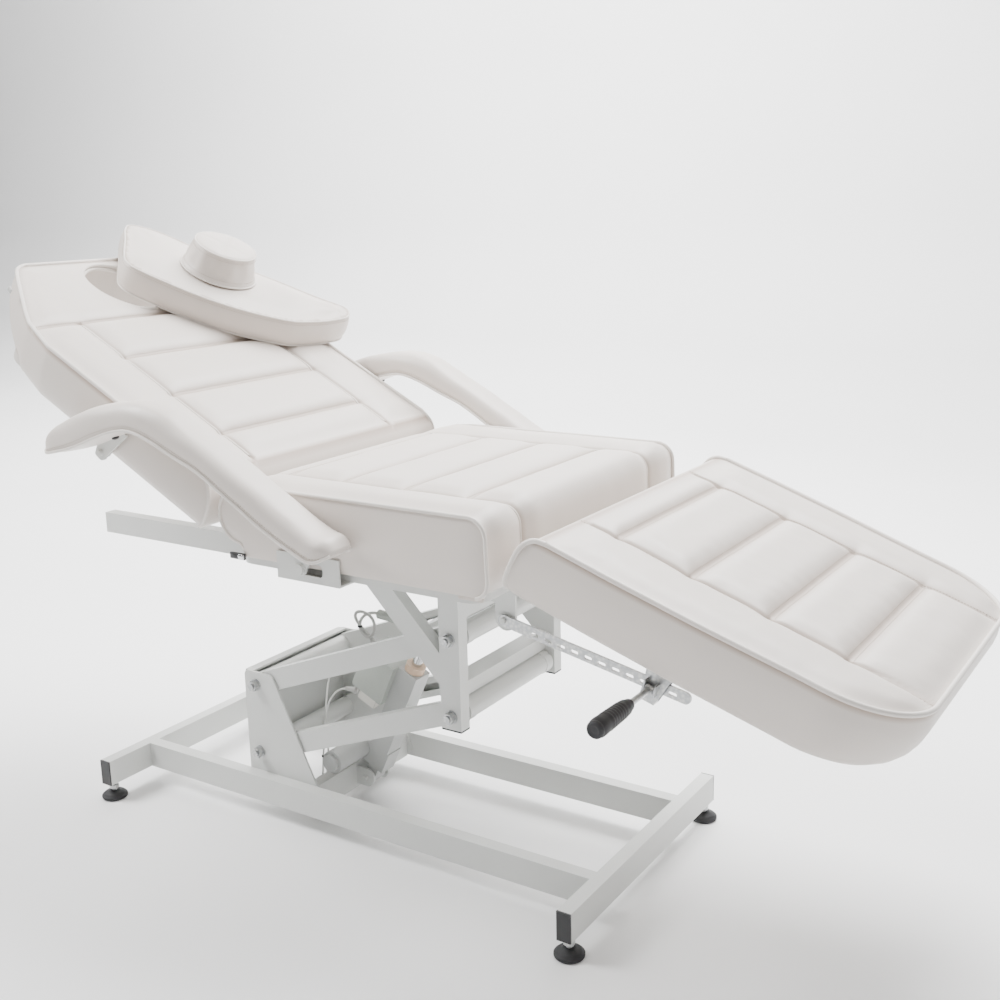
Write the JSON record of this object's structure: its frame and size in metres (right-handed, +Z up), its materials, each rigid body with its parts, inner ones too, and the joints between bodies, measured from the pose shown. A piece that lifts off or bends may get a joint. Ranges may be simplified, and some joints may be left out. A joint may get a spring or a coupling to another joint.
{
  "type": "facial treatment bed",
  "caption": "Electric facial treatment bed with a steel lift frame, padded seat, tilting backrest with armrests, leg rest, head pillow and face plug.",
  "frame": {"origin": "on the floor, under the middle of the bed's length and width", "axes": "+X towards the foot end, +Y towards the far armrest, +Z up"},
  "size_m": [1.8292, 0.814, 1.1325],
  "materials": {
    "powder_coat": "semi-gloss powder coat",
    "zinc": "zinc plated",
    "bright_steel": "polished",
    "black_plastic": "matte",
    "grip_rubber": "matte, fine grain",
    "upholstery": "soft artificial leather, fine grain",
    "plywood": "plain plywood with staple cloth",
    "actuator_grey": "fine textured",
    "box_grey": "fine textured",
    "ring_plastic": "satin",
    "nylon": "satin",
    "cable_white": "satin",
    "cable_grey": "satin"
  },
  "bodies": {
    "base": {"base_end_beams": "powder_coat", "base_side_rails": "powder_coat", "base_cross_beam": "powder_coat", "base_end_caps": "black_plastic", "pivot_side_plates": "powder_coat", "pivot_back_plate": "powder_coat", "base_pivot_bolts": "zinc", "actuator_base_bracket": "powder_coat"},
    "foot_1": {"levelling_foot_1": "black_plastic"},
    "foot_2": {"levelling_foot_2": "black_plastic"},
    "foot_3": {"levelling_foot_3": "black_plastic"},
    "foot_4": {"levelling_foot_4": "black_plastic"},
    "upper_arm": {"upper_arm_bars": "powder_coat", "upper_arm_sleeves": "powder_coat", "upper_arm_bushes": "nylon", "upper_arm_cross_tube": "powder_coat", "actuator_top_ears": "powder_coat"},
    "lower_arm": {"lower_arm_bars": "powder_coat", "lower_arm_sleeves": "powder_coat", "lower_arm_bushes": "nylon"},
    "seat": {"seat_rails": "powder_coat", "seat_rail_caps": "black_plastic", "uprights": "powder_coat", "upright_caps": "black_plastic", "frame_braces": "powder_coat", "lower_seat_cross": "powder_coat", "upper_seat_cross": "powder_coat", "frame_pivot_bolts": "zinc", "seat_board": "plywood", "seat_cushion": "upholstery", "back_hinge_cheeks": "powder_coat", "leg_hinge_straps": "powder_coat", "strut_bracket": "powder_coat", "armrest_slides": "powder_coat"},
    "actuator": {"actuator_housing": "actuator_grey", "actuator_motor": "actuator_grey", "actuator_collar": "ring_plastic", "control_box": "box_grey", "terminal_block": "nylon", "motor_lead": "cable_white", "sensor_lead": "cable_grey", "lead_connector": "box_grey"},
    "rod": {"actuator_rod": "bright_steel"},
    "backrest": {"back_board": "plywood", "back_cushion": "upholstery", "back_hinge_arms": "powder_coat", "armrest_stubs": "zinc"},
    "near_armrest": {"near_armrest_pad": "upholstery", "near_armrest_bar": "zinc"},
    "far_armrest": {"far_armrest_pad": "upholstery", "far_armrest_bar": "zinc"},
    "leg_rest": {"leg_board": "plywood", "leg_cushion": "upholstery", "leg_hinge_arms": "powder_coat", "latch_bracket": "zinc"},
    "strut": {"ratchet_rail": "zinc"},
    "lever": {"release_lever": "zinc", "lever_grip": "grip_rubber"},
    "pillow": {"pillow": "upholstery"},
    "plug": {"face_plug": "upholstery"}
  },
  "joints": [
    {"name": "foot_1_turn", "type": "hinge", "parent": "base", "child": "foot_1", "pos_m": [-0.6505, -0.255, 0.02], "axis": [0, 0, 1], "continuous": true},
    {"name": "foot_2_turn", "type": "hinge", "parent": "base", "child": "foot_2", "pos_m": [0.3945, -0.255, 0.02], "axis": [0, 0, 1], "continuous": true},
    {"name": "foot_3_turn", "type": "hinge", "parent": "base", "child": "foot_3", "pos_m": [-0.6505, 0.255, 0.02], "axis": [0, 0, 1], "continuous": true},
    {"name": "foot_4_turn", "type": "hinge", "parent": "base", "child": "foot_4", "pos_m": [0.3945, 0.255, 0.02], "axis": [0, 0, 1], "continuous": true},
    {"name": "lift", "type": "hinge", "parent": "base", "child": "upper_arm", "pos_m": [-0.352, 0, 0.258], "axis": [0, -1, 0], "range_deg": [-6, 22]},
    {"name": "lower_arm_turn", "type": "hinge", "parent": "base", "child": "lower_arm", "pos_m": [-0.352, 0, 0.122], "axis": [0, -1, 0], "range_deg": [-6.2, 22.2]},
    {"name": "seat_level", "type": "hinge", "parent": "upper_arm", "child": "seat", "pos_m": [0.12133, 0, 0.43969], "axis": [0, -1, 0], "range_deg": [-22.2, 6.2]},
    {"name": "actuator_turn", "type": "hinge", "parent": "base", "child": "actuator", "pos_m": [-0.188, 0, 0.058], "axis": [0, -1, 0], "range_deg": [-4.2, 14.6]},
    {"name": "rod_slide", "type": "slide", "parent": "actuator", "child": "rod", "axis": [0.4197, 0, 0.9077], "range_m": [-0.0235, 0.0855]},
    {"name": "backrest_tilt", "type": "hinge", "parent": "seat", "child": "backrest", "pos_m": [-0.24394, 0, 0.64904], "axis": [0, 1, 0], "range_deg": [-28.5, 30]},
    {"name": "near_armrest_turn", "type": "hinge", "parent": "backrest", "child": "near_armrest", "pos_m": [-0.49536, 0, 0.73151], "axis": [0, 1, 0], "range_deg": [-14, 13.3]},
    {"name": "far_armrest_turn", "type": "hinge", "parent": "backrest", "child": "far_armrest", "pos_m": [-0.49536, 0, 0.73151], "axis": [0, 1, 0], "range_deg": [-14, 13.3]},
    {"name": "leg_rest_tilt", "type": "hinge", "parent": "seat", "child": "leg_rest", "pos_m": [0.325, 0, 0.583], "axis": [0, -1, 0], "range_deg": [-40, 17.67]},
    {"name": "strut_turn", "type": "hinge", "parent": "seat", "child": "strut", "pos_m": [0.237, -0.176, 0.497], "axis": [0, -1, 0], "range_deg": [-31.4, 13.9]},
    {"name": "lever_pull", "type": "hinge", "parent": "leg_rest", "child": "lever", "pos_m": [0.50196, -0.195, 0.4408], "axis": [-0.9528, 0, 0.3035], "range_deg": [0, 12], "stiffness_Nm_per_rad": 8, "springref_deg": -5.73},
    {"name": "pillow_lift", "type": "slide", "parent": "backrest", "child": "pillow", "axis": [0.4772, 0, 0.8788], "range_m": [0, 0.12]},
    {"name": "plug_lift", "type": "slide", "parent": "pillow", "child": "plug", "axis": [0.4772, 0, 0.8788], "range_m": [0, 0.08]}
  ],
  "couplings": [
    {"joint": "lower_arm_turn", "follows": "lift", "ratio": 1},
    {"joint": "seat_level", "follows": "lift", "ratio": -1},
    {"joint": "actuator_turn", "follows": "lift", "ratio": 0.652},
    {"joint": "rod_slide", "follows": "lift", "m_per_rad": 0.221},
    {"joint": "near_armrest_turn", "follows": "backrest_tilt", "ratio": -0.46},
    {"joint": "far_armrest_turn", "follows": "backrest_tilt", "ratio": -0.46},
    {"joint": "strut_turn", "follows": "leg_rest_tilt", "ratio": 0.78}
  ]
}
